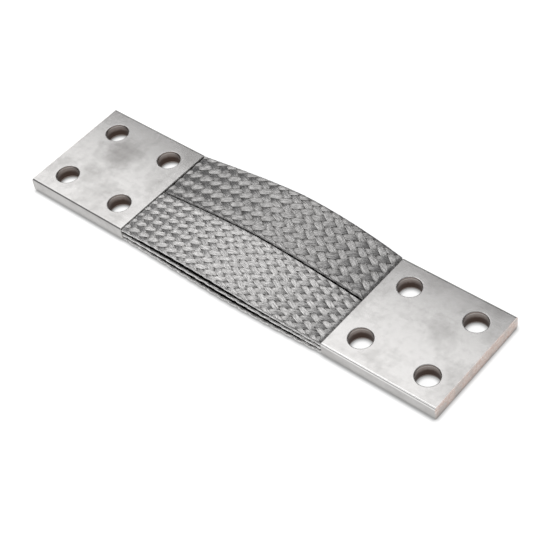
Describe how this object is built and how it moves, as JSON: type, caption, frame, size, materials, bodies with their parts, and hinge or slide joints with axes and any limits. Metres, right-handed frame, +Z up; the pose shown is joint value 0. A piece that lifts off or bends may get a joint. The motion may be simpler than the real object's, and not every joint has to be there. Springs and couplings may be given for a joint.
{
  "type": "braided grounding strap",
  "caption": "Flexible flat grounding strap of layered tinned copper braids, pressed at each end into a flat tinned sleeve with bolt holes on a square pattern.",
  "frame": {"origin": "middle of the strap, on the surface that its two sleeves lie on", "axes": "+X along the strap from the left sleeve to the right one, +Y across it towards the back, +Z up, out of the flat faces of the sleeves"},
  "size_m": [0.304, 0.0824, 0.016],
  "materials": {
    "tinned_sleeve": "satin tin plate over copper, with pink copper on the cut ends and in the holes",
    "tinned_braid": "bright tinned copper wire, woven"
  },
  "bodies": {
    "root": {"left_ferrule": "tinned_sleeve", "right_ferrule": "tinned_sleeve", "braid_bottom_front": "tinned_braid", "braid_bottom_back": "tinned_braid", "braid_middle_front": "tinned_braid", "braid_middle_back": "tinned_braid", "braid_top_front": "tinned_braid", "braid_top_back": "tinned_braid"}
  },
  "joints": []
}
